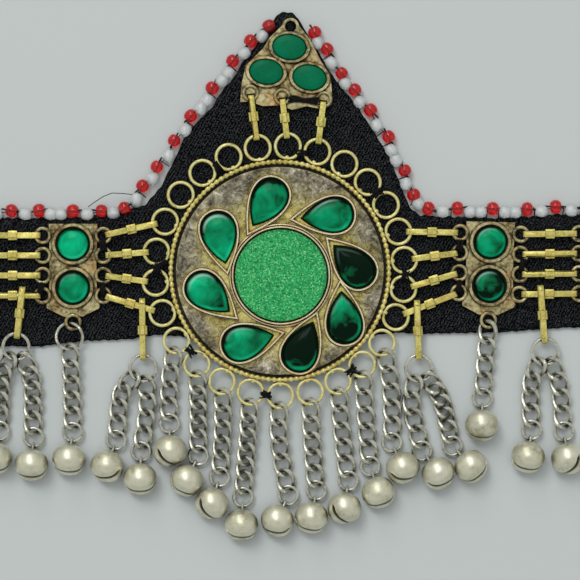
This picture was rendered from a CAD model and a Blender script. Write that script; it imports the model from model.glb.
# %% [markdown]
# # Dressing a matha patti
# A matha patti is a forehead ornament. This one is a black cloth band with a pointed
# crest. Brass plates set with green glass are sewn to it, flat brass bars link them, and
# steel chains with round bells hang from the lower edge. The solids come ready made as a
# fixed frame. This lesson gives them their finishes, and builds again, more finely, the
# pieces whose small forms show: cloth, rope rim, settings, stones, links and beads.

import random
from math import asin, atan2, copysign, cos, dist, exp, pi, radians, sin, sqrt

import bmesh
import bpy
import numpy as np
from mathutils import Matrix, Vector


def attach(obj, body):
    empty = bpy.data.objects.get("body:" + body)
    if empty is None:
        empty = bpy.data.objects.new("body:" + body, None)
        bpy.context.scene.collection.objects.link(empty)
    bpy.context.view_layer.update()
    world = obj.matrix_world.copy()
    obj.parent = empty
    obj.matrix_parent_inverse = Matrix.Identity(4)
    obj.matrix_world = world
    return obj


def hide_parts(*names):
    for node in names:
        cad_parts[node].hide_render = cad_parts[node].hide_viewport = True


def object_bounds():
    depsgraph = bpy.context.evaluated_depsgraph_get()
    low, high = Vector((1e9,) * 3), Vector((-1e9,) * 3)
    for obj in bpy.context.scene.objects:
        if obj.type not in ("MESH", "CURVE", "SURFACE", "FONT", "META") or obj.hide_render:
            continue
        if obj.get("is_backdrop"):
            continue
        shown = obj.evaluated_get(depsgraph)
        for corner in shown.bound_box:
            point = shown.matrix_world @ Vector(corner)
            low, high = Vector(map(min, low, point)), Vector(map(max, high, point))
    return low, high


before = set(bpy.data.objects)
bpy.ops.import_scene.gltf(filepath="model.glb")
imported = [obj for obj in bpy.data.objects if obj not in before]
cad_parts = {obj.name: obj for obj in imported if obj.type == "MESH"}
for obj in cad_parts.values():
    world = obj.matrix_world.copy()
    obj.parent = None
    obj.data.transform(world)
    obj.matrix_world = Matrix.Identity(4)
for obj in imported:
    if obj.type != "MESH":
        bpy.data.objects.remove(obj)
cad_box = [list(corner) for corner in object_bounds()]
MM = 0.001
rng = random.Random(7)
print("pieces in the frame:", len(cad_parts))

# %% [markdown]
# ## Camera first
# The ornament lies on a table and is seen straight from above. A long lens from well over
# half a metre keeps every ring round, out to the corners.

# %% Camera
VIEW_WIDTH = 150.8 * MM
VIEW_MIDDLE = (2.34 * MM, -3.58 * MM)
CAMERA_HEIGHT, SENSOR = 0.62, 36.0


def into_scene(name, data):
    thing = bpy.data.objects.new(name, data)
    bpy.context.scene.collection.objects.link(thing)
    return thing


camera_data = bpy.data.cameras.new("overhead_camera")
camera_data.sensor_width = SENSOR
camera_data.lens = SENSOR * CAMERA_HEIGHT / VIEW_WIDTH
camera = into_scene("overhead_camera", camera_data)
camera.location = (*VIEW_MIDDLE, CAMERA_HEIGHT + 2 * MM)
bpy.context.scene.camera = camera
print("lens:", round(camera_data.lens, 1), "mm")

# %% [markdown]
# ## Masks that several finishes share
# Tarnish, fine scratches and weave are effects, not whole finishes. Each is a node group
# that puts out only masks and heights. A material then decides what a mask does to its
# colour and gloss, so one group serves brass, steel and glass alike.


# %% Building node groups
def new_group(name, inputs, outputs):
    group = bpy.data.node_groups.new(name, "ShaderNodeTree")
    for label, default in inputs.items():
        socket = group.interface.new_socket(label, in_out="INPUT", socket_type="NodeSocketFloat")
        socket.default_value = default
    for label in outputs:
        group.interface.new_socket(label, in_out="OUTPUT", socket_type="NodeSocketFloat")
    return group, group.nodes.new("NodeGroupInput"), group.nodes.new("NodeGroupOutput")


def feed(tree, node, **inputs):
    """Sets or links a node's inputs, each by its name or, as i0, i1 and on, by its number."""
    for key, value in inputs.items():
        socket = node.inputs[int(key[1:]) if key[1:].isdigit() else key.replace("_", " ")]
        if isinstance(value, bpy.types.NodeSocket):
            tree.links.new(value, socket)
        else:
            socket.default_value = value


def add(tree, kind, settings=None, **inputs):
    """Adds a node. Settings are its own values, and inputs are numbers, colours or sockets."""
    node = tree.nodes.new("ShaderNode" + kind)
    for key, value in (settings or {}).items():
        setattr(node, key, value)
    feed(tree, node, **inputs)
    return node


def calc(tree, operation, *values):
    numbered = {"i%d" % i: value for i, value in enumerate(values)}
    return add(tree, "Math", {"operation": operation}, **numbered).outputs[0]


def remap(tree, value, span, result):
    """Stretches a span of a value over another span, and keeps it inside that one."""
    return add(tree, "MapRange", Value=value, From_Min=span[0], From_Max=span[1],
               To_Min=result[0], To_Max=result[1]).outputs[0]


def between(tree, share, first, second):
    return add(tree, "Mix", {"data_type": "FLOAT"}, i0=share, i2=first, i3=second).outputs[0]


def blend(tree, share, first, second, mode="MIX"):
    return add(tree, "Mix", {"data_type": "RGBA", "blend_type": mode}, i0=share,
               i6=first, i7=second).outputs[2]


def object_place(tree):
    return add(tree, "TexCoord").outputs["Object"]


def noise(tree, place, scale, detail, **more):
    return add(tree, "TexNoise", Vector=place, Scale=scale, Detail=detail,
               **more).outputs["Fac"]


def steps(tree, mask, stops):
    """A colour ramp. A stop is a place from 0 to 1, then three numbers, or one for a grey."""
    node = add(tree, "ValToRGB", Fac=mask)
    ramp = node.color_ramp
    while len(ramp.elements) < len(stops):
        ramp.elements.new(0.5)
    for element, (place, *colour) in zip(ramp.elements, stops):
        element.position = place
        element.color = (*(colour * 3)[:3], 1)
    return node.outputs["Color"]


tarnish, start, end = new_group("tarnish", {"Patch Size": 3, "Grain Size": 0.5},
                                ["Patches", "Grain"])
place = object_place(tarnish)
for size, output, rough in (("Patch Size", "Patches", 0.7), ("Grain Size", "Grain", 0.6)):
    scale = calc(tarnish, "DIVIDE", 1 / MM, start.outputs[size])
    tarnish.links.new(noise(tarnish, place, scale, 5.0, Roughness=rough), end.inputs[output])
print("groups:", [g.name for g in bpy.data.node_groups])

# %% [markdown]
# Fine scratches come from handling. A stretched noise gives short streaks, and two layers
# that cross look less combed than one.

# %% Scratches
SCRATCHES_PER_METRE = (1 / (3.0 * MM), 1 / (0.12 * MM), 1 / (0.12 * MM))
scratches, start, end = new_group("scratches", {}, ["Height"])
place = object_place(scratches)
layers = []
for angle in (0.5, -0.9):
    turned = add(scratches, "VectorRotate", {"rotation_type": "Z_AXIS"},
                 Vector=place, Angle=angle).outputs[0]
    scaled = add(scratches, "VectorMath", {"operation": "MULTIPLY"}, i0=turned,
                 i1=SCRATCHES_PER_METRE).outputs[0]
    layers.append(noise(scratches, scaled, 1.0, 2.0))
scratches.links.new(calc(scratches, "MULTIPLY", *layers), end.inputs["Height"])
print("scratches ready")

# %% [markdown]
# ## Metals
# Old brass is never one colour: rubbed places stay yellow, hollows turn grey-brown. So the
# colour runs through a ramp over the tarnish mask, and roughness follows the same mask,
# because tarnish is matt. Dirt gathers where a cloth can't reach: an Ambient Occlusion node
# finds those hollows and pushes the mask down there. Broad stains tint some metals pink. Fine
# grain and scratches lift the surface a little through a bump.


# %% A metal finish
def new_material(name):
    material = bpy.data.materials.new(name)
    material.use_nodes = True
    return material, material.node_tree, material.node_tree.nodes["Principled BSDF"]


def use_group(tree, group, **values):
    node = tree.nodes.new("ShaderNodeGroup")
    node.node_tree = group
    feed(tree, node, **values)
    return node


def tarnished(tree, patch, grain):
    """The tarnish masks: blots about as wide as patch and specks as wide as grain, in mm."""
    node = use_group(tree, tarnish, Patch_Size=patch, Grain_Size=grain)
    return node.outputs["Patches"], node.outputs["Grain"]


def hollows(tree, reach, samples=8):
    """How open a spot is, from 0 in a crevice to 1."""
    node = add(tree, "AmbientOcclusion", {"samples": samples}, Distance=reach * MM)
    return node.outputs["AO"]


def raise_surface(tree, shader, height, strength, depth=0.2):
    """Shows a height as relief in the shading. The depth is in mm."""
    bump = add(tree, "Bump", Height=height, Strength=strength, Distance=depth * MM)
    feed(tree, shader, Normal=bump.outputs[0])


def metal(name, colours, patch, grain, metallic, dirt, reach, gloss=(0.28, 0.45), relief=0.2,
          mix=0.5, stain=None, stained=0.0):
    """Gloss is the roughness of clean and of dull metal, reach is how wide a hollow counts."""
    material, tree, shader = new_material(name)
    blots, specks = tarnished(tree, patch, grain)
    mask = between(tree, mix, blots, specks)
    shut = remap(tree, hollows(tree, reach), (0.25, 0.85), (-dirt, 0.0))
    mask = calc(tree, "ADD", mask, shut)
    colour = steps(tree, mask, colours)
    if stain:
        broad = tarnished(tree, 4.5, 1.4)[0]
        share = steps(tree, broad, [(0.50, 0.0), (0.64, stained)])
        colour = blend(tree, share, colour, (*stain, 1), "MULTIPLY")
    dull = remap(tree, mask, (0.35, 0.65), (gloss[1], gloss[0]))
    feed(tree, shader, Base_Color=colour, Roughness=dull, Metallic=metallic)
    height = calc(tree, "ADD", specks, use_group(tree, scratches).outputs["Height"])
    raise_surface(tree, shader, height, relief)
    return material


old_brass = metal(
    "antique_brass",
    [(0.22, 0.016, 0.013, 0.007), (0.40, 0.13, 0.105, 0.05), (0.49, 0.36, 0.31, 0.15),
     (0.62, 0.60, 0.53, 0.29)],
    gloss=(0.32, 0.5), patch=3.6, grain=0.9, relief=0.3, metallic=0.75, mix=0.35, dirt=0.45,
    reach=1.0, stain=(1.0, 0.72, 0.55), stained=0.9)
bright_brass = metal(
    "yellow_brass",
    [(0.14, 0.02, 0.016, 0.005), (0.32, 0.20, 0.16, 0.035), (0.46, 0.52, 0.45, 0.11),
     (0.62, 0.74, 0.67, 0.24)],
    patch=2.2, grain=0.5, metallic=0.6, dirt=0.4, reach=0.9, stain=(1.0, 0.8, 0.6), stained=0.6)
ring_brass = metal(
    "ring_brass",
    [(0.14, 0.02, 0.017, 0.005), (0.32, 0.22, 0.19, 0.06), (0.46, 0.56, 0.51, 0.19),
     (0.62, 0.76, 0.72, 0.36)],
    patch=3.0, grain=0.5, metallic=0.45, dirt=0.45, reach=0.8, stain=(1.0, 0.76, 0.58),
    stained=0.45)
rope_brass = metal(
    "rope_brass",
    [(0.12, 0.03, 0.02, 0.006), (0.32, 0.22, 0.17, 0.04), (0.46, 0.54, 0.46, 0.13),
     (0.62, 0.80, 0.72, 0.30)],
    gloss=(0.20, 0.36), patch=4.0, grain=0.6, relief=0.08, metallic=0.55, dirt=0.5, reach=0.7,
    stain=(1.0, 0.72, 0.5), stained=0.5)
pink_brass = metal(
    "setting_brass",
    [(0.14, 0.02, 0.014, 0.008), (0.28, 0.26, 0.19, 0.09), (0.42, 0.55, 0.45, 0.26),
     (0.58, 0.78, 0.68, 0.45)],
    gloss=(0.26, 0.42), patch=3.5, grain=0.4, relief=0.15, metallic=0.55, dirt=0.35, reach=0.5,
    stain=(1.0, 0.78, 0.66), stained=0.8)
bell_metal = metal(
    "bell_nickel",
    [(0.16, 0.06, 0.052, 0.035), (0.34, 0.42, 0.40, 0.28), (0.46, 0.70, 0.68, 0.52),
     (0.64, 0.82, 0.80, 0.65)],
    gloss=(0.36, 0.44), patch=6.0, grain=1.2, relief=0.02, metallic=0.8, mix=0.25, dirt=0.3,
    reach=4.0)
chain_metal = metal(
    "chain_steel",
    [(0.14, 0.014, 0.013, 0.009), (0.33, 0.15, 0.145, 0.11), (0.46, 0.56, 0.55, 0.45),
     (0.62, 0.82, 0.82, 0.72)],
    gloss=(0.18, 0.34), patch=2.0, grain=0.4, relief=0.15, metallic=0.8, dirt=0.5, reach=1.8)
print("metals:", [m.name for m in bpy.data.materials])

# %% [markdown]
# The ground of the medallion is a beaten sheet with far more tarnish than the wires. Two
# noises of different size give flakes of grey over yellow brass. The distance from the
# middle blends a yellower mix between the stones into a greyer one at the rim, and yellow
# comes back close to the settings' walls. Soot fills the groove inside the rope: everything
# below a certain height turns nearly black.

# %% Mottled ground
SOOT = (0.010, 0.008, 0.005, 1)
GROOVE_HEIGHTS = (2.2 * MM, 2.8 * MM)
mottled_ground, tree, shader = new_material("mottled_ground")
blots, specks = tarnished(tree, 5.5, 0.9)
place = object_place(tree)
flakes = noise(tree, place, 560.0, 9.0, Roughness=0.82, Distortion=0.9)
mask = between(tree, 0.62, blots, flakes)
open_here = hollows(tree, 1.0, samples=16)
mask = calc(tree, "ADD", mask, remap(tree, open_here, (0.0, 1.0), (-0.12, 0.0)))
outer = steps(tree, mask, [
    (0.36, 0.006, 0.005, 0.005), (0.43, 0.040, 0.034, 0.029), (0.49, 0.16, 0.143, 0.10),
    (0.55, 0.35, 0.315, 0.215), (0.63, 0.80, 0.78, 0.64)])
inner = steps(tree, mask, [
    (0.36, 0.03, 0.022, 0.008), (0.43, 0.20, 0.16, 0.045), (0.49, 0.44, 0.38, 0.11),
    (0.60, 0.72, 0.66, 0.28)])
away = add(tree, "VectorMath", {"operation": "LENGTH"}, i0=place).outputs["Value"]
strayed = calc(tree, "MULTIPLY_ADD", blots, 0.024, away)
colour = blend(tree, remap(tree, strayed, (0.030, 0.036), (0.0, 1.0)), inner, outer)
by_walls = remap(tree, hollows(tree, 2.2), (0.55, 0.86), (0.8, 0.0))
colour = blend(tree, by_walls, colour, inner)
pit = remap(tree, open_here, (0.32, 0.62), (0.94, 0.0))
level = add(tree, "SeparateXYZ", Vector=place).outputs["Z"]
groove = remap(tree, level, GROOVE_HEIGHTS, (0.96, 0.0))
colour = blend(tree, calc(tree, "MAXIMUM", pit, groove), colour, SOOT)
feed(tree, shader, Base_Color=colour, Metallic=0.35,
     Roughness=steps(tree, mask, [(0.38, 0.75), (0.6, 0.38)]))
raise_surface(tree, shader, calc(tree, "ADD", flakes, specks), 0.8, depth=0.3)
print("ground ready")

# %% [markdown]
# ## Glass
# The drop stones are clear green glass over crumpled foil. Real glass over a real mirror
# renders slowly and noisily at this size, so the foil is painted: a green with bright and
# nearly black folds, under a thin clear coat that gives the sharp highlights. Each stone
# carries its own shade, as some of them lie almost black.

# %% Foiled glass
GLINT_GREEN = (0.34, 0.58, 0.48, 1)
emerald, tree, shader = new_material("foiled_emerald")
place = object_place(tree)
folds = noise(tree, place, 230.0, 2.0, Roughness=0.5, Distortion=1.2)
wide = noise(tree, place, 110.0, 1.0)
mixed = between(tree, 0.6, folds, wide)
shade, rim, crescent = (
    add(tree, "Attribute", {"attribute_name": name}).outputs["Fac"]
    for name in ("shade", "rim", "glint"))
lifted = calc(tree, "ADD", calc(tree, "SUBTRACT", mixed, shade), rim)
colour = steps(tree, lifted, [
    (0.30, 0.0, 0.006, 0.002), (0.41, 0.0, 0.12, 0.045), (0.56, 0.0, 0.24, 0.105),
    (0.68, 0.0, 0.37, 0.17), (0.90, 0.02, 0.62, 0.30)])
feed(tree, shader, Base_Color=blend(tree, crescent, colour, GLINT_GREEN), Roughness=0.35,
     Specular_IOR_Level=0.05, Coat_Weight=0.12, Coat_Roughness=0.05)
raise_surface(tree, shader, folds, 0.25, depth=0.6)
print("foiled glass ready")

# %% [markdown]
# The crest holds flat opaque stones, and the middle of the medallion a disc under a crust
# of glitter. Glitter is a Voronoi pattern: every cell is one flake, with its own colour and
# its own tilt, so that a few flakes catch the light and most don't.

# %% Opaque glass and glitter
opaque_green, tree, shader = new_material("opaque_green_glass")
blots, specks = tarnished(tree, 6.0, 0.5)
greens = [(0.35, 0.0, 0.085, 0.036), (0.6, 0.0, 0.115, 0.050)]
feed(tree, shader, Base_Color=steps(tree, blots, greens),
     Roughness=steps(tree, specks, [(0.3, 0.22), (0.7, 0.32)]),
     Specular_IOR_Level=0.08)

FLAKES_PER_METRE = 3400.0
glitter, tree, shader = new_material("green_glitter")
flakes = add(tree, "TexVoronoi", Vector=object_place(tree), Scale=FLAKES_PER_METRE)
per_flake = add(tree, "SeparateColor", Color=flakes.outputs["Color"])
flecks = steps(tree, per_flake.outputs[0], [
    (0.0, 0.001, 0.11, 0.022), (0.25, 0.004, 0.19, 0.048), (0.6, 0.012, 0.29, 0.078),
    (0.85, 0.045, 0.36, 0.11), (0.97, 0.16, 0.46, 0.18)])
shut = remap(tree, hollows(tree, 1.6), (0.35, 0.95), (0.92, 0.0))
feed(tree, shader, Base_Color=blend(tree, shut, flecks, (0.001, 0.012, 0.004, 1)),
     Roughness=0.45, Specular_IOR_Level=0.3)
height = calc(tree, "ADD", per_flake.outputs[1], flakes.outputs["Distance"])
raise_surface(tree, shader, height, 0.35, depth=0.3)
print("stones ready")

# %% [markdown]
# ## Cloth, beads and thread
# The cloth is a black twill. Its diagonal ribs are a wave turned to the slope of the weave,
# crossed by a second, finer one for the single threads. Lint and fuzz break the black up.
# Glass beads let light through, thread is a matt twisted cotton.

# %% Twill
TWILL_PITCH = 0.75 * MM
twill, start, end = new_group("twill", {}, ["Ribs", "Threads"])
place = object_place(twill)
wobble = noise(twill, place, 160.0, 2.0)
for angle, waves, output in ((2.09, 6.28, "Ribs"), (0.52, 17.0, "Threads")):
    turned = add(twill, "VectorRotate", {"rotation_type": "Z_AXIS"}, Vector=place,
                 Angle=angle).outputs[0]
    level = add(twill, "SeparateXYZ", Vector=turned).outputs["Y"]
    phase = calc(twill, "MULTIPLY", level, waves / TWILL_PITCH)
    wave = calc(twill, "SINE", calc(twill, "MULTIPLY_ADD", wobble, 7.0, phase))
    twill.links.new(calc(twill, "MULTIPLY_ADD", wave, 0.5, 0.5), end.inputs[output])

black_cloth, tree, shader = new_material("black_twill")
weave = use_group(tree, twill)
blots, specks = tarnished(tree, 7.0, 0.35)
ribs = calc(tree, "MULTIPLY", weave.outputs["Ribs"], 0.15)
speckled = calc(tree, "MULTIPLY_ADD", specks, 1.6, ribs)
base = steps(tree, speckled, [(0.70, 0.0001, 0.0001, 0.0002),
                              (0.87, 0.0020, 0.0022, 0.0026), (0.96, 0.022, 0.024, 0.026)])
lint = steps(tree, specks, [(0.62, 0.0), (0.72, 1.0)])
feed(tree, shader, Base_Color=blend(tree, lint, base, (0.09, 0.09, 0.10, 1)), Roughness=0.85,
     Specular_IOR_Level=0.02)
height = calc(tree, "MULTIPLY_ADD", weave.outputs["Threads"], 0.1, speckled)
raise_surface(tree, shader, height, 0.9)
print("cloth ready")


# %% Beads and thread
def bead_glass(name, dark, light, clear, frost):
    material, tree, shader = new_material(name)
    blots, specks = tarnished(tree, 1.6, 0.4)
    feed(tree, shader, Transmission_Weight=clear, Roughness=frost, IOR=1.5,
         Base_Color=steps(tree, blots, [(0.35, *dark), (0.62, *light)]))
    raise_surface(tree, shader, specks, 0.1)
    return material


red_glass = bead_glass("red_bead_glass", (0.90, 0.006, 0.012), (1.0, 0.05, 0.05), 0.88, 0.06)
clear_glass = bead_glass("clear_bead_glass", (0.70, 0.74, 0.74), (0.82, 0.85, 0.85), 0.6, 0.35)

black_thread, tree, shader = new_material("black_thread")
blots, specks = tarnished(tree, 1.2, 0.15)
blacks = [(0.4, 0.001, 0.001, 0.001), (0.7, 0.012, 0.012, 0.014)]
feed(tree, shader, Base_Color=steps(tree, specks, blacks), Roughness=0.8,
     Specular_IOR_Level=0.15)
raise_surface(tree, shader, specks, 0.7)
print("materials:", len(bpy.data.materials))

# %% [markdown]
# ## From a bmesh to a piece
# Every new piece ends the same way: normals recalculated, faces smooth except across sharp
# edges, one material, a place in the frame's body and the name of its finish. A copy of a
# solid starts as loose triangles, so its corners are merged and its flat faces rejoined.


# %% Finishing helpers
def turns(count):
    """Angles that share out one full turn."""
    return [i * 2 * pi / count for i in range(count)]


def mm(*numbers):
    return tuple(n * MM for n in numbers)


def as_mesh(bm, name="part"):
    mesh = bpy.data.meshes.new(name)
    bm.to_mesh(mesh)
    bm.free()
    return mesh


def finish_piece(name, bm, material, sharp=35):
    """Edges that bend by more than sharp, in degrees, stay sharp."""
    bmesh.ops.recalc_face_normals(bm, faces=bm.faces)
    limit = radians(sharp)
    for face in bm.faces:
        face.smooth = True
    for edge in bm.edges:
        edge.smooth = not (len(edge.link_faces) == 2 and edge.calc_face_angle(0) > limit)
    piece = into_scene(name, as_mesh(bm, name))
    piece.data.materials.append(material)
    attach(piece, "root")
    return piece


def report(*pieces):
    for piece in pieces:
        print(piece.name, len(piece.data.polygons), "faces")


def solid_copy(node):
    bm = bmesh.new()
    bm.from_mesh(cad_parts[node].data)
    bmesh.ops.remove_doubles(bm, verts=bm.verts, dist=0.002 * MM)
    return bm


def islands(bm):
    """The bmesh's separate solids, each a list of its verts."""
    seen, found = set(), []
    for first in bm.verts:
        if first in seen:
            continue
        seen.add(first)
        group = [first]
        for vert in group:
            near = [e.other_vert(vert) for e in vert.link_edges]
            fresh = [v for v in near if v not in seen]
            seen.update(fresh)
            group += fresh
        found.append(group)
    return found


STRIP_W, WIRE_Z, EVEN = 1.5, 3.0, 0.02


def across(group):
    """A strip's direction, the one across it, and its middle line's place in that one."""
    edges = {e for v in group for e in v.link_edges}
    longest = max(edges, key=lambda e: (e.verts[0].co.xy - e.verts[1].co.xy).length)
    along = (longest.verts[1].co.xy - longest.verts[0].co.xy).normalized()
    side = Vector((-along.y, along.x))
    offsets = [v.co.xy.dot(side) for v in group]
    return edges, along, side, (max(offsets) + min(offsets)) / 2


def arch_strips(bm, drop_mm):
    """Bends the flat back of every strip down at its two sides, as rolled metal is."""
    cross = []
    for group in islands(bm):
        edges, along, side, middle = across(group)
        for e in edges:
            step = e.verts[1].co - e.verts[0].co
            uneven = (abs(step.xy.dot(side)) - STRIP_W * MM, step.xy.dot(along), step.z)
            if max(abs(u) for u in uneven) < EVEN * MM:
                cross.append(e)
    bmesh.ops.subdivide_edges(bm, edges=cross, cuts=5)
    for group in islands(bm):
        edges, along, side, middle = across(group)
        top = max(v.co.z for v in group)
        for v in group:
            off = abs(v.co.xy.dot(side) - middle) / MM
            if off < STRIP_W / 2 + 0.05 and WIRE_Z * MM < v.co.z < top - 0.05 * MM:
                lift = (v.co.z - WIRE_Z * MM) / (top - WIRE_Z * MM)
                v.co.z -= drop_mm * (off / (STRIP_W / 2)) ** 2 * lift * MM


def bevel_edges(piece, width):
    bevel = piece.modifiers.new("worn_edges", "BEVEL")
    bevel.width = width * MM
    bevel.segments = 2
    return bevel


def rounded_copy(node, material, width, arch=0.0):
    """A copy of a solid whose sharp edges are worn round by a bevel of this width in mm."""
    bm = solid_copy(node)
    bmesh.ops.dissolve_limit(bm, angle_limit=radians(1.5), verts=bm.verts, edges=bm.edges)
    if arch:
        arch_strips(bm, arch)
    piece = finish_piece(node + "_worn", bm, material)
    bevel = bevel_edges(piece, width)
    bevel.limit_method = "ANGLE"
    bevel.angle_limit = radians(40)
    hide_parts(node)
    return piece


plates = {}
for node in ("crest_plate", "side_plate_left", "side_plate_right", "end_plate_left",
             "end_plate_right"):
    plates[node] = rounded_copy(node, old_brass, 0.12)
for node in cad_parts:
    if "link" in node or "hanger" in node:
        plates[node] = rounded_copy(node, bright_brass, 0.1, arch=0.34)
report(*plates.values())

# %% [markdown]
# ## The cloth
# The band is a thick folded twill. Two short tables give its top and bottom edge, left to
# right. A grid is laid over that outline, column by column. Its edges wave a little, as sewn
# edges do, and its rim rolls down to the table. A Solidify modifier gives the thickness.

# %% Cloth band
BAND_END, CLOTH_T = 91.0, 1.4
TOP_EDGE = [(-91, 15.1), (-72.8, 15.2), (-62.8, 15.1), (-51.9, 15.4), (-39.1, 17.4),
            (-35.2, 18.7), (-31.2, 23.5), (-27.9, 30.0), (-25.8, 35.0), (-22.2, 40.0),
            (-18.3, 43.5), (-15.9, 47.6), (-12.6, 51.4), (-9.1, 57.2), (-5.8, 61.0),
            (-2.9, 65.2), (-0.8, 68.2), (1.4, 69.0), (3.4, 68.4), (5.8, 65.0), (8.2, 61.0),
            (10.5, 57.2), (13.9, 51.4), (17.2, 47.6), (20.4, 43.5), (22.6, 40.0),
            (25.9, 35.0), (28.6, 30.0), (31.3, 23.5), (33.4, 18.0), (36.4, 15.8),
            (57.3, 15.1), (73.7, 16.2), (91, 16.0)]
LOW_EDGE = [(-91, -17.7), (-72.8, -18.2), (-62.8, -18.3), (-51.9, -16.9), (-39.1, -16.4),
            (-32.8, -15.2), (0, -17.8), (30.9, -14.7), (36.4, -15.0), (57.3, -14.6),
            (73.7, -13.4), (91, -13.2)]


def edge_y(table, x):
    return float(np.interp(x, [p[0] for p in table], [p[1] for p in table]))


COLUMNS, ROWS = 364, 44
ROLL_DROP, ROLL_WIDTH = 0.35, 0.55
bm = bmesh.new()
bmesh.ops.create_grid(bm, x_segments=COLUMNS, y_segments=ROWS, size=1.0)
for vert in bm.verts:
    x = vert.co.x * BAND_END
    share = (vert.co.y + 1) / 2
    ripple = 0.16 * sin(x * 2.9) + 0.12 * sin(x * 1.31 + 2) + rng.uniform(-0.07, 0.07)
    low = edge_y(LOW_EDGE, x) - 0.6 * ripple
    high = edge_y(TOP_EDGE, x) + ripple
    y = low + (high - low) * share
    rim = min(high - y, y - low, BAND_END - abs(x))
    roll = ROLL_DROP * exp(-max(rim, 0.0) / ROLL_WIDTH)
    swell = 0.05 * sin(x * 0.21 + 1) * sin(y * 0.17)
    vert.co = Vector((x, y, CLOTH_T - 0.06 - roll + min(swell, 0.0))) * MM
cloth = finish_piece("cloth", bm, black_cloth, sharp=60)
thick = cloth.modifiers.new("thickness", "SOLIDIFY")
thick.thickness = (CLOTH_T - 0.45) * MM
thick.offset = -1
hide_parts("cloth_band")
report(cloth)

# %% [markdown]
# ## Tubes
# Wire, thread and links are all a round section led along a line. A curve with a bevel depth
# does that. It is turned into a mesh at once, so that many can be joined in one piece.


# %% Tube helper
def tube(points, radius, closed=False, sides=8):
    """A mesh tube along points in mm, its radius in mm."""
    curve = bpy.data.curves.new("line", "CURVE")
    curve.dimensions = "3D"
    curve.bevel_depth = radius * MM
    curve.bevel_resolution = max(0, (sides - 4) // 2)
    curve.use_fill_caps = not closed
    spline = curve.splines.new("POLY")
    spline.points.add(len(points) - 1)
    for point, spot in zip(spline.points, points):
        point.co = (*mm(*spot), 1)
    spline.use_cyclic_u = closed
    holder = bpy.data.objects.new("line", curve)
    mesh = bpy.data.meshes.new_from_object(holder)
    bpy.data.objects.remove(holder)
    bpy.data.curves.remove(curve)
    return mesh


def pour(bm, mesh, matrix=None):
    """Adds a mesh to a bmesh, moved by a matrix."""
    first = len(bm.verts)
    bm.from_mesh(mesh)
    bm.verts.ensure_lookup_table()
    if matrix is not None:
        bmesh.ops.transform(bm, matrix=matrix, verts=bm.verts[first:])


def ring_points(radius, count, z=0.0, x=0.0, y=0.0):
    return [(x + radius * cos(a), y + radius * sin(a), z) for a in turns(count)]


print("tube ready")

# %% [markdown]
# ## The medallion
# A brass disc carries a rim of pearled wire with a dark groove inside it, a fringe of
# soldered rings, a round setting and eight drop-shaped ones. Built as separate forms, all of
# these keep crisp shadow lines that one solid disc would lose.

# %% Disc, rope and rings
MED = (-0.3, 1.4)
RIM_R, GROUND_R = 28.3, 26.85
BASE_Z, GROOVE_Z, TOP_Z = 1.5, 1.78, 2.9
LOOPS, LOOP_R, WIRE_R = 26, 3.25, 0.425
LOOP_DIST = RIM_R + 4.1


def loop_middle(k):
    a = k * 360 / LOOPS
    angle = radians(88.3 + a - 2 * cos(radians(a)))
    return MED[0] + LOOP_DIST * cos(angle), MED[1] + LOOP_DIST * sin(angle)


def raise_face(bm, face, lift, grow=1.0, middle=(0.0, 0.0), is_base=False):
    """Extrudes a face up by a lift in mm and scales it about a middle. A base stays closed
    below. Any other face would be left behind as a wall inside the solid, so it goes."""
    raised = bmesh.ops.extrude_face_region(bm, geom=[face])["geom"]
    verts = [g for g in raised if isinstance(g, bmesh.types.BMVert)]
    top = next(g for g in raised if isinstance(g, bmesh.types.BMFace))
    if not is_base:
        bmesh.ops.delete(bm, geom=[face], context="FACES_ONLY")
    about = Matrix.Translation((-middle[0] * MM, -middle[1] * MM, 0))
    bmesh.ops.translate(bm, verts=verts, vec=(0, 0, lift * MM))
    bmesh.ops.scale(bm, verts=verts, vec=(grow, grow, 1), space=about)
    return top, verts


DISC_EDGE = RIM_R + 0.5
bm = bmesh.new()
bmesh.ops.create_circle(bm, cap_ends=True, radius=DISC_EDGE * MM, segments=128)
bmesh.ops.translate(bm, verts=bm.verts, vec=mm(*MED, BASE_Z))
bm.faces.ensure_lookup_table()
top, size = bm.faces[0], DISC_EDGE
for radius, lift in ((size, GROOVE_Z - BASE_Z), (GROUND_R + 0.12, 0), (GROUND_R + 0.12, 1.1),
                     (GROUND_R, 0.12), (GROUND_R - 0.35, 0), (GROUND_R - 0.5, -0.1)):
    top, verts = raise_face(bm, top, lift, radius / size, MED, is_base=radius > RIM_R)
    size = radius
print("top of the ground:", round(top.calc_center_median().z / MM, 2), "mm")
ground = finish_piece("medallion_ground", bm, mottled_ground)
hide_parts("medallion")

PEARLS, SLICES, SIDES = 122, 8, 8
bm = bmesh.new()
sections = []
for i, around in enumerate(turns(PEARLS * SLICES)):
    thick = 0.32 + 0.34 * abs(sin(pi * i / SLICES)) ** 0.8
    section = []
    for a in turns(SIDES):
        r = RIM_R + thick * cos(a)
        section.append(bm.verts.new(mm(r * cos(around), r * sin(around), thick * sin(a))))
    sections.append(section)
for i, section in enumerate(sections):
    before = sections[i - 1]
    for k in range(SIDES):
        bm.faces.new((before[k - 1], before[k], section[k], section[k - 1]))
bmesh.ops.translate(bm, verts=bm.verts, vec=mm(*MED, WIRE_Z + 0.25))
rope = finish_piece("medallion_rope", bm, rope_brass, sharp=85)

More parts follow.
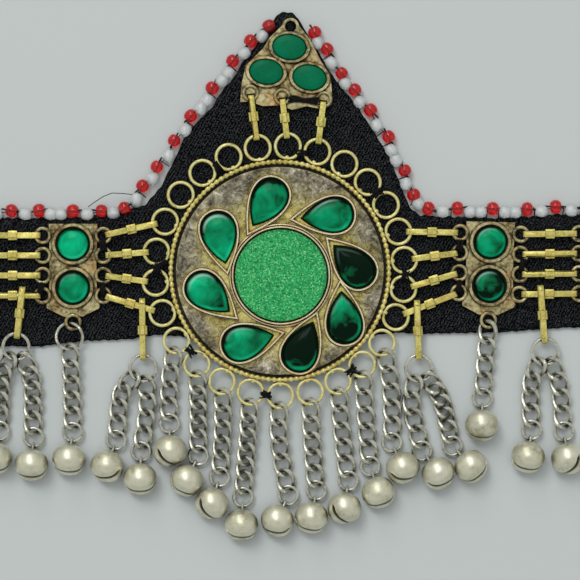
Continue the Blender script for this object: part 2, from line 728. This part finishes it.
SOLDER_R = 0.62
bm = bmesh.new()
for k in range(LOOPS):
    x, y = loop_middle(k)
    pour(bm, tube(ring_points(LOOP_R, 40, WIRE_Z, x, y), WIRE_R, closed=True, sides=10))
    lean = rng.uniform(-0.2, 0.2)
    touch = Vector((x - MED[0], y - MED[1], 0)).normalized() * (RIM_R + 0.95)
    blob = bmesh.ops.create_uvsphere(bm, u_segments=10, v_segments=6,
                                     radius=SOLDER_R * MM)["verts"]
    bmesh.ops.scale(bm, verts=blob, vec=(1.2 + lean, 1.2 - lean, 0.7))
    bmesh.ops.translate(bm, verts=blob, vec=mm(MED[0] + touch.x, MED[1] + touch.y, WIRE_Z))
rings = finish_piece("medallion_rings", bm, ring_brass, sharp=60)
report(rope, rings)

# %% [markdown]
# ## Settings and stones
# A setting is a thin strip of metal stood on edge round its stone, with a narrow channel
# inside. Its outline is a drop, a round end that narrows to a tip. The stone is a smaller
# drop, extruded in small steps that shrink and rise to a cabochon's soft shoulder.

# %% Drop outline
PETAL_LEN, PETAL_W = 13.6, 9.0
# A petal: tip x, y, turn, shade, lean, dark side, glint
PETALS = [(-7.3, 13.1, 59, 0.05, 0.04, 239, 0.0), (5.2, 15.0, 6, 0.07, 0.02, 186, 0.5),
          (13.7, 8.0, -46, 0.40, 0.06, 40, 0.1), (15.6, -3.9, -84, 0.19, 0.19, -90, 0.2),
          (8.3, -11.9, -113, 0.34, 0.06, 60, 0.0), (-1.9, -15.3, -166, -0.02, 0.02, 160, 0.4),
          (-13.4, -9.2, 139, 0.02, 0.08, -50, 0.6), (-14.4, 3.3, 102, 0.01, 0.06, -78, 0.7)]
ROSETTE, DISC_R = (0.0, 0.2), 12.0


def drop(grow, back, blunt=1.15, count=48):
    """The outline of a drop. A smaller blunt makes its tip fuller."""
    bulge = [sin(t) * sin(t / 2) ** blunt for t in turns(count)]
    reach = PETAL_LEN + grow + back
    return [(-back + reach / 2 * (1 - cos(t)), (PETAL_W / 2 + grow) * b / max(bulge))
            for t, b in zip(turns(count), bulge)]


def flat_verts(bm, points, z):
    return [bm.verts.new(mm(point[0], point[1], z)) for point in points]


def standing_wall(bm, outer, inner, low, high):
    """A thin wall between two outlines with as many points each."""
    rims = []
    for points, z in ((outer, low), (outer, high), (inner, high), (inner, low)):
        verts = flat_verts(bm, points, z)
        rims.append([bm.edges.new((verts[i - 1], verts[i])) for i in range(len(verts))])
    for i in range(4):
        bmesh.ops.bridge_loops(bm, edges=rims[i] + rims[(i + 1) % 4])


def at_petal(petal):
    x, y, angle = petal[:3]
    return Matrix.Translation(mm(x, y, 0)) @ Matrix.Rotation(radians(angle), 4, "Z")


WALL_FOOT, WALL_BEVEL = TOP_Z - 0.1, 0.14
walls, floors = bmesh.new(), bmesh.new()
for petal in PETALS:
    part, seat = bmesh.new(), bmesh.new()
    standing_wall(part, drop(0.74, 2.95), drop(0.32, 2.25), WALL_FOOT, TOP_Z + 1.3)
    standing_wall(part, drop(1.1, 3.5), drop(1.0, 3.35), WALL_FOOT, TOP_Z + 0.12)
    floor = seat.faces.new(flat_verts(seat, drop(0.25, 2.15), TOP_Z - 0.05))
    raise_face(seat, floor, 0.13, is_base=True)
    pour(walls, as_mesh(part), at_petal(petal))
    pour(floors, as_mesh(seat), at_petal(petal))
settings = finish_piece("petal_settings", walls, pink_brass)
bevel_edges(settings, WALL_BEVEL)
petal_floors = finish_piece("petal_floors", floors, bright_brass)
report(settings, petal_floors)

# %% Round setting in the middle
bm = bmesh.new()
standing_wall(bm, ring_points(DISC_R + 0.75, 96, 0, *ROSETTE),
              ring_points(DISC_R + 0.35, 96, 0, *ROSETTE), WALL_FOOT, TOP_Z + 1.7)
disc_wall = finish_piece("disc_setting", bm, pink_brass)
bevel_edges(disc_wall, WALL_BEVEL)
bm = bmesh.new()
pour(bm, tube(ring_points(DISC_R + 1.2, 96, TOP_Z + 0.3, *ROSETTE), 0.24, closed=True))
wires = finish_piece("disc_wires", bm, pink_brass, sharp=80)
report(disc_wall, wires)

# %% [markdown]
# A stone starts as its flat outline. Each extrusion lifts a copy of the top face, and
# shrinking that copy about the stone's middle shapes the shoulder. Inset would tear at a
# drop's sharp tip. Three numbers stored on the points tell the foil finish how dark the
# stone is, where its edge glows, since light that enters at the upper left leaves at the
# lower right, and where the pale crescent lies that some stones show on the lit side. An
# extrusion copies such numbers to its new points, so every step sets them again. A stone
# starts with a low dark flange that fills the channel inside its wall.


# %% Cabochons
LIGHT_SIDE = Vector((-0.45, 0.89))
SEAT_Z = 3.0
SHUT_IN = {1: 0.5, 0.93: 0.5, 0.925: 0.2}
RIM_GLOW = {0.925: 0.2, 0.89: 0.34, 0.845: 0.32, 0.80: 0.22, 0.745: 0.08}
GLINT = {0.845: 0.5, 0.80: 1.0, 0.745: 0.6}
GLINT_FROM = 0.45
DOME = [(1, 0.06), (0.93, 0.0), (0.925, 0.36), (0.89, 0.3), (0.845, 0.26), (0.80, 0.2),
        (0.745, 0.15), (0.71, 0.06), (0.58, 0.18), (0.35, 0.12), (0.17, 0.03)]


def cabochon(bm, outline, middle, shoulders, shade, lean=0.0, dark_side=0.0, glint=0.0,
             turned=0.0):
    """Lifts and shrinks an outline in steps. A shoulder is a size, from 1 to 0, and a lift.
    Lean is how much darker the stone gets towards its dark side, an angle in degrees."""
    def outwards(vert):
        away = Vector((vert.co.x / MM - middle[0], vert.co.y / MM - middle[1]))
        away.rotate(Matrix.Rotation(turned, 2))
        return away

    numbers = bm.verts.layers.float
    shades, rims, glints = (numbers.get(n) or numbers.new(n) for n in ("shade", "rim", "glint"))
    towards = radians(dark_side)
    dark = Vector((cos(towards), sin(towards))) * lean
    first = len(bm.verts)
    face = bm.faces.new(flat_verts(bm, outline, SEAT_Z))
    size = 1.0
    for target, lift in shoulders:
        face, verts = raise_face(bm, face, lift, target / size, middle, is_base=target == 1)
        size = target
        for vert in verts:
            lit = outwards(vert).normalized().dot(LIGHT_SIDE)
            vert[rims] = -RIM_GLOW.get(target, 0.0) * lit - SHUT_IN.get(target, 0.0)
            near_light = max(0.0, lit - GLINT_FROM) / (1 - GLINT_FROM)
            vert[glints] = glint * near_light * GLINT.get(target, 0.0)
    bm.verts.ensure_lookup_table()
    for vert in bm.verts[first:]:
        vert[shades] = shade + outwards(vert).dot(dark) / (PETAL_W / 2)


bm = bmesh.new()
for petal in PETALS:
    part = bmesh.new()
    cabochon(part, drop(0.2, 0.15, blunt=0.85), (PETAL_LEN * 0.56, 0), DOME, *petal[3:],
             turned=radians(petal[2]))
    pour(bm, as_mesh(part), at_petal(petal))
petal_stones = finish_piece("petal_stones", bm, emerald, sharp=50)
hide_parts(*["petal_stone_%d" % (i + 1) for i in range(8)])
report(petal_stones)

# %% [markdown]
# The plates carry round stones of the same foiled glass, two on each.

# %% Round stones
STONE_R = 4.28
# A round stone: x, y, shade, lean, dark side, glint
ROUND_STONES = {
    "side_stone_left_top": (-54.0, 8.35, -0.14, 0.02, 0, 0.0),
    "side_stone_left_low": (-54.0, -2.95, 0.03, 0.1, -80, 0.2),
    "side_stone_right_top": (54.35, 8.85, 0.01, 0.1, -80, 0.4),
    "side_stone_right_low": (54.05, -2.45, 0.13, 0.1, -60, 0.5),
    "end_stone_left_top": (-85.3, 8.35, -0.08, 0.05, 0, 0.2),
    "end_stone_left_low": (-85.3, -2.95, -0.02, 0.1, -90, 0.4),
    "end_stone_right_top": (85.3, 8.85, -0.1, 0.05, -60, 0.3),
    "end_stone_right_low": (85.3, -2.45, 0.04, 0.1, -90, 0.4)}
bm = bmesh.new()
for x, y, *light in ROUND_STONES.values():
    cabochon(bm, ring_points(STONE_R, 48, 0, x, y), (x, y), DOME, *light)
round_stones = finish_piece("round_stones", bm, emerald, sharp=50)
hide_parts(*ROUND_STONES)

OVAL_A, OVAL_B = 4.36, 3.26
CREST_STONES = {"crest_stone_1": (2.2, 59.4, -8), "crest_stone_2": (-3.8, 53.0, -8),
                "crest_stone_3": (7.4, 51.5, -10)}
FLAT_TOP = [(1, 0.25), (0.975, 0.3), (0.94, 0.2), (0.90, 0.1), (0.5, 0.03)]
bm = bmesh.new()
for x, y, angle in CREST_STONES.values():
    turned = Matrix.Rotation(radians(angle), 2)
    oval = [turned @ Vector((OVAL_A * cos(a), OVAL_B * sin(a))) for a in turns(48)]
    cabochon(bm, [(x + p.x, y + p.y) for p in oval], (x, y), FLAT_TOP, 0.0)
crest_stones = finish_piece("crest_stones", bm, opaque_green, sharp=50)
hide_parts(*CREST_STONES)
disc = rounded_copy("centre_disc", glitter, 0.15)
report(round_stones, crest_stones, disc)

# %% [markdown]
# ## Chains
# A curb chain's link is a ring twisted once, so that the chain lies flat. The frame holds
# each link as a coarse ring. Every link is found in the frame's own solid, the spread of its
# corners tells where it lies and how it is turned, and a fine link goes in the same place.
# The bells come from a table: the ring above the bell, the way the bell points, and the turn
# of its slit.

# %% One fine link
LINK_A, LINK_B, LINK_C, LINK_WIRE = 2.05, 2.95, 1.2, 0.54
HOOK = (-54.9, -15.55, 3.0, -13.85)


def twisted(a, b, c, count):
    return [(a * sin(t), b * cos(t), c * sin(2 * t)) for t in turns(count)]


link_mesh = tube(twisted(LINK_A, LINK_B, LINK_C, 28), LINK_WIRE, closed=True, sides=8)
hook_mesh = tube(twisted(3.4, 3.4, 1.15, 40), 0.4, closed=True, sides=8)
print("link:", len(link_mesh.polygons), "faces")

# %% [markdown]
# A bell is a round shell, a little fuller than a ball, cut open across its lower half. The
# cut is spread into a slit, and the sheet beside it is pressed flat, as the jaws of a
# stamped bell are. A little thickness closes the edge of the sheet.

# %% One bell
BELL_R, BELL_POLE, BELL_NECK, BELL_TILT = 4.33, 3.78, 1.5, radians(30)
FULLNESS, BELL_LOOP_R = 2.4, 0.95
LIP_Z, SLIT_W, JAW_REACH, JAW_PRESS = -0.5, 0.5, 1.9, 0.075


def spin_round(bm, verts, pairs, count):
    """Joins pairs of points by edges and spins them about the z axis into a skin."""
    edges = [bm.edges.new(pair) for pair in pairs]
    bmesh.ops.spin(bm, geom=verts + edges, cent=(0, 0, 0), axis=(0, 0, 1), dvec=(0, 0, 0),
                   angle=2 * pi, steps=count, use_merge=True, use_duplicate=False)
    bmesh.ops.remove_doubles(bm, verts=bm.verts, dist=0.001 * MM)


def bell_shell():
    bm = bmesh.new()
    rows, columns = 22, 40
    angles = [i * pi / rows for i in range(rows + 1)]
    half = [bm.verts.new((0, 0, BELL_POLE * cos(a) * MM)) for a in angles]
    for a, vert in zip(angles, half):
        high = abs(cos(a))
        vert.co.x = BELL_R * max(0.0, 1 - high ** FULLNESS) ** (1 / FULLNESS) * MM
    spin_round(bm, half, zip(half, half[1:]), columns)
    bmesh.ops.recalc_face_normals(bm, faces=bm.faces)
    cut = [e for e in bm.edges
           if all(abs(v.co.x) < 0.01 * MM and v.co.z < LIP_Z * MM for v in e.verts)]
    bmesh.ops.split_edges(bm, edges=cut)
    for vert in bm.verts:
        if vert.co.z > LIP_Z * MM:
            continue
        x = vert.co.x / MM
        middle = sum(f.calc_center_median().x for f in vert.link_faces)
        side = copysign(1, middle if abs(x) < 0.01 else x)
        near = max(0.0, 1 - abs(x) / JAW_REACH)
        open_here = min(1.0, (LIP_Z - vert.co.z / MM) / 0.9)
        vert.co.x += side * SLIT_W * near * open_here * MM
        press = 1 - JAW_PRESS * min(1.0, near * 1.6) * open_here
        vert.co.y *= press
        vert.co.z *= press
    bmesh.ops.solidify(bm, geom=bm.faces, thickness=0.4 * MM)
    return as_mesh(bm)


def bell_loop():
    arch = [(BELL_LOOP_R * cos(a), 0, BELL_LOOP_R * sin(a)) for a in turns(20)[:11]]
    foot = -BELL_NECK - 0.2
    return tube([(BELL_LOOP_R, 0, foot)] + arch + [(-BELL_LOOP_R, 0, foot)], 0.28)


bell_mesh, loop_mesh = bell_shell(), bell_loop()
BELLS = [(-73.3, -40.2, -96, 0), (-64.4, -41.9, -92, 0), (-54.2, -40.6, -96, 0),
         (-42.9, -42.6, -108, -30), (-36.4, -45.6, -91, 0), (-29.0, -38.3, -88, 45),
         (-21.5, -46.6, -115, 0), (-16.0, -52.2, -106, 40), (-9.9, -57.5, -93, 0),
         (1.9, -57.0, -115, -20), (9.2, -55.7, -101, 0), (17.5, -53.2, -99, 40),
         (23.2, -49.4, -73, 0), (28.8, -43.2, -67, 30), (36.7, -45.4, -54, 20),
         (44.6, -44.1, -48, 0), (52.4, -31.7, -93, 0), (65.2, -40.0, -100, 0),
         (73.6, -40.4, -84, -50)]
RING_R, CHAIN_Z = 2.4, 1.8
BALL_R, BALL_CUT = 4.45, 0.65
BELL_Z = BALL_R - BALL_CUT * sin(BELL_TILT) + 0.16
BELL_REACH = BALL_R - BALL_CUT + BELL_NECK
LOOP_Z = BELL_Z - BELL_REACH * sin(BELL_TILT)


def bell_frames(row):
    """Where the loop and the body of a bell go, each as a matrix."""
    x, y, heading, slit = row
    heading = radians(heading)
    reach = RING_R * cos(asin((LOOP_Z - CHAIN_Z) / (2 * RING_R)))
    spot = mm(x + reach * cos(heading), y + reach * sin(heading), LOOP_Z)
    loop = (Matrix.Translation(spot) @ Matrix.Rotation(heading, 4, "Z")
            @ Matrix.Rotation(-BELL_TILT - pi / 2, 4, "Y"))
    body = (loop @ Matrix.Translation(mm(0, 0, -BELL_REACH))
            @ Matrix.Rotation(radians(slit), 4, "Z"))
    return loop, body


print("bell:", len(bell_mesh.polygons), "faces")


# %% Reading the links off the solids
def lie_of(verts):
    """A matrix with a link's middle and its three directions, from the spread of its points."""
    points = np.array([v.co for v in verts])
    middle = points.mean(0)
    spread = np.linalg.eigh(np.cov((points - middle).T))[1]
    length, width = Vector(spread[:, 2]), Vector(spread[:, 1])
    height = width.cross(length)
    turned = Matrix((width, length, height)).transposed().to_4x4()
    return Matrix.Translation(Vector(middle)) @ turned


CORNERS = {60: "link", 96: "hook"}
BELL_TOP = 6.5
chains = []
for node in sorted(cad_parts):
    if not node.startswith("chain"):
        continue
    source = solid_copy(node)
    wire, shells = bmesh.new(), bmesh.new()
    replaced = []
    for group in islands(source):
        kind = CORNERS.get(len(group))
        middle = sum((v.co for v in group), Vector()) / len(group)
        if kind == "link":
            pour(wire, link_mesh, lie_of(group))
        elif kind == "hook":
            place = Matrix.Translation(mm(*HOOK[:3]))
            pour(wire, hook_mesh, place @ Matrix.Rotation(radians(HOOK[3]), 4, "Z"))
        elif max(v.co.z for v in group) > BELL_TOP * MM:
            kind = "bell"
            loop, body = min((bell_frames(row) for row in BELLS),
                             key=lambda both: (both[1].translation - middle).length)
            pour(wire, loop_mesh, loop)
            pour(shells, bell_mesh, body)
        if kind:
            replaced += group
    bmesh.ops.delete(source, geom=replaced, context="VERTS")
    pour(wire, as_mesh(source))
    piece = finish_piece(node + "_fine", wire, chain_metal, sharp=38)
    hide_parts(node)
    bells = finish_piece(node + "_bells", shells, bell_metal, sharp=50)
    chains += [piece, bells]
report(*chains)

# %% [markdown]
# ## Bead edging
# Glass seed beads are sewn along the top edge: a red bead stands proud, and a clear bead
# lies between each two, nearer to the cloth. A bead is a fat ring, so a round section is
# spun about the thread's line. The thread shows as short stitches between the beads.

# %% Seed beads
RED_LEFT = [(-3.1, 65.0), (-7.9, 61.2), (-12.6, 56.0), (-17.9, 49.0), (-23.5, 41.7),
            (-27.8, 35.3), (-32.3, 28.5), (-36.0, 23.5), (-40.7, 17.7), (-46.7, 17.0),
            (-54.1, 17.0), (-62.9, 17.1), (-70.1, 17.1), (-78.0, 17.0), (-86.2, 17.0)]
RED_RIGHT = [(8.8, 63.4), (12.0, 59.1), (15.8, 52.8), (19.2, 48.5), (23.3, 43.2), (28.0, 36.3),
             (32.2, 27.5), (34.5, 21.2), (38.3, 17.7), (45.9, 17.7), (55.1, 17.6), (64.0, 17.5),
             (71.4, 18.1), (79.6, 17.9), (87.6, 17.8)]
ROUNDNESS, SECTION, WIDE_GAP = 0.86, 10, 8.4
RED_Z, RED_SIZE, RED_HOLE, RED_LENGTH = 1.8, 1.78, 0.32, 3.15
CLEAR_Z, CLEAR_SIZE, CLEAR_HOLE, CLEAR_LENGTH = 1.65, 1.6, 0.22, 3.3


def bead(bm, x, y, z, angle, outer, hole, length):
    """A round glass bead whose hole runs along angle, in the plane of the table."""
    part = bmesh.new()
    section = []
    for a in turns(SECTION):
        level = sin(a)
        reach = outer * sqrt(1 - (ROUNDNESS * level) ** 2) if cos(a) > 0 else hole
        section.append(part.verts.new(mm(reach, 0, length / 2 * level)))
    spin_round(part, section, zip(section[-1:] + section, section), 16)
    turned = Matrix.Rotation(angle, 4, "Z") @ Matrix.Rotation(pi / 2, 4, "Y")
    pour(bm, as_mesh(part), Matrix.Translation(mm(x, y, z)) @ turned)


red, clear, stitches = bmesh.new(), bmesh.new(), bmesh.new()
for row, side in ((RED_LEFT, 1), (RED_RIGHT, -1)):
    for i, (x, y) in enumerate(row):
        before, after = row[max(i - 1, 0)], row[min(i + 1, len(row) - 1)]
        along = atan2(after[1] - before[1], after[0] - before[0])
        lean = along + rng.uniform(-0.25, 0.25)
        bead(red, x, y, RED_Z, lean, RED_SIZE + rng.uniform(-0.1, 0.08), RED_HOLE,
             RED_LENGTH + rng.uniform(-0.3, 0.2))
        stub = Vector((cos(lean), sin(lean))) * rng.uniform(2.2, 2.9)
        pour(stitches, tube([(x - stub.x, y - stub.y, 1.9), (x + stub.x, y + stub.y, 1.9)], 0.22,
                            sides=6))
        if i + 1 == len(row):
            continue
        narrow = dist((x, y), after) < WIDE_GAP
        line = [(x, y, RED_Z)]
        heading = atan2(after[1] - y, after[0] - x)
        inward = Vector((-sin(heading), cos(heading))) * side
        for spot in (0.5,) if narrow else (0.36, 0.66):
            cx = x + (after[0] - x) * spot + inward.x * 0.9
            cy = y + (after[1] - y) * spot + inward.y * 0.9
            bead(clear, cx, cy, CLEAR_Z, heading + rng.uniform(-0.3, 0.3), CLEAR_SIZE,
                 CLEAR_HOLE, CLEAR_LENGTH)
            line.append((cx, cy, CLEAR_Z))
        pour(stitches, tube(line + [(*after, RED_Z)], 0.12, sides=6))
        for spot in (0.24, 0.78) if narrow else (0.17, 0.83):
            sx, sy = x + (after[0] - x) * spot, y + (after[1] - y) * spot
            if rng.random() < 0.55:
                continue
            pour(stitches, tube([(sx + inward.x * far, sy + inward.y * far, z)
                                 for far, z in ((-0.3, 1.3), (0.7, 2.6), (2.6, 1.3))],
                                0.13, sides=6))
loose = [(-50.2, 18.0, 1.9), (-48.5, 19.2, 2.2), (-46.2, 20.7, 2.6), (-43.9, 21.6, 2.7),
         (-41.0, 21.5, 2.4), (-38.4, 21.2, 1.9), (-36.9, 21.8, 1.6)]
pour(stitches, tube(loose, 0.1, sides=6))
red_beads = finish_piece("red_beads", red, red_glass, sharp=80)
clear_beads = finish_piece("clear_beads", clear, clear_glass, sharp=80)
edging = finish_piece("edging_thread", stitches, black_thread, sharp=80)
report(red_beads, clear_beads, edging)

# %% [markdown]
# ## Thread ties
# Black thread ties the rings together. Each tie is a bundle of closed loops wound round two
# neighbouring wires, a little askew. One long, flat tie lies on the crest plate.

# %% Ties
# A tie: x, y, turn, half of its length, spread of its strands
TIES = [(-16.4, 28.4, -60, 1.6, 1.3), (5.4, 32.0, 10, 1.6, 1.3), (24.9, 21.7, 40, 1.7, 1.5),
        (-32.0, 2.1, 90, 1.5, 1.5), (32.2, 0.3, 85, 1.5, 1.3), (-23.4, -19.4, -45, 1.6, 1.4),
        (-3.9, -30.8, -10, 1.5, 1.3), (18.2, -24.6, 35, 1.6, 1.4), (-46.2, 8.0, 90, 1.7, 1.3),
        (-46.2, -3.2, 90, 1.8, 1.3), (-62.2, -3.2, 90, 1.8, 1.3), (46.4, 8.0, 90, 1.7, 1.2),
        (46.2, -2.6, 90, 1.8, 1.2), (62.4, 3.0, 90, 1.7, 1.2), (-30.6, 3.6, 30, 1.2, 1.0)]
BAR_TIE = (5.8, 45.4, -3, 4.3, 1.3)
STRANDS, CORNERS_ROUND = 9, 14
bm = bmesh.new()
for x, y, angle, reach, spread in TIES + [BAR_TIE]:
    facing = Matrix.Rotation(radians(angle), 2)
    level, rise = (3.4, 0.32) if reach > 3 else (3.0, 0.62)
    for strand in range(int(STRANDS * spread)):
        aside = rng.uniform(-0.55, 0.55) * spread
        skew = rng.uniform(-0.6, 0.6) * spread
        half = reach * rng.uniform(0.65, 1.05)
        tall = rise + rng.uniform(0.0, 0.25)
        strand_line = []
        for a in turns(CORNERS_ROUND):
            spot = facing @ Vector((half * cos(a), aside + skew * cos(a)))
            strand_line.append((x + spot.x, y + spot.y, level + tall * sin(a)))
        pour(bm, tube(strand_line, 0.15, closed=True, sides=6))
ties = finish_piece("thread_ties", bm, black_thread, sharp=80)
report(ties)

# %% [markdown]
# ## Table and light
# The table is a plain pale sheet. A long softbox leans over the picture's top edge and draws
# a streak on each bell. Two more lights, hidden from reflections, throw the soft shadows and
# even out the table. The sky is darker overhead, where flat stones would mirror it.

# %% Table, lights, sky
bm = bmesh.new()
bmesh.ops.create_grid(bm, x_segments=1, y_segments=1, size=1.5)
table_top = into_scene("table", as_mesh(bm, "table"))
table_top.location = (0, 0, -0.1 * MM)
table_finish, tree, shader = new_material("pale_table")
feed(tree, shader, Base_Color=(0.385, 0.413, 0.410, 1), Roughness=0.6)
table_top.data.materials.append(table_finish)
table_top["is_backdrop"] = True

LIGHTS = [("shadow_light", (-1.1, 1.7, 2.9), (0.9, 1.2), 46.0, False),
          ("long_softbox", (-0.50, 2.15, 2.5), (1.1, 3.4), 38.0, True),
          ("even_fill", (0.0, 0.0, 3.2), (3.0, 3.0), 42.0, False)]
for name, spot, size, power, mirrored in LIGHTS:
    lamp = bpy.data.lights.new(name, "AREA")
    lamp.shape = "RECTANGLE"
    lamp.size, lamp.size_y = size
    lamp.energy = power
    holder = into_scene(name, lamp)
    holder.location = spot
    holder.rotation_euler = (-Vector(spot)).to_track_quat("-Z", "Y").to_euler()
    holder.visible_glossy = mirrored
world = bpy.data.worlds.new("sky")
world.use_nodes = True
tree = world.node_tree
height = add(tree, "SeparateXYZ", Vector=add(tree, "TexCoord").outputs[0])
sky = steps(tree, height.outputs["Z"], [(0.0, 0.30, 0.31, 0.30), (0.45, 0.75, 0.77, 0.75),
                                        (0.80, 0.62, 0.64, 0.62), (0.97, 0.42, 0.43, 0.42)])
feed(tree, tree.nodes["Background"], Color=sky, Strength=0.75)
bpy.context.scene.world = world
bpy.context.scene.view_settings.view_transform = "Standard"
print("lights:", len(LIGHTS))

# %% [markdown]
# ## Closing
# The finest pieces add only a fraction of a millimetre to the solids. The two boxes are
# written down so that this can be checked.

# %% Sizes and finish
size_now = [list(corner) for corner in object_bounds()]
for label, box in (("cad", cad_box), ("visual", size_now)):
    print(label, [[round(v * 1000, 2) for v in corner] for corner in box])
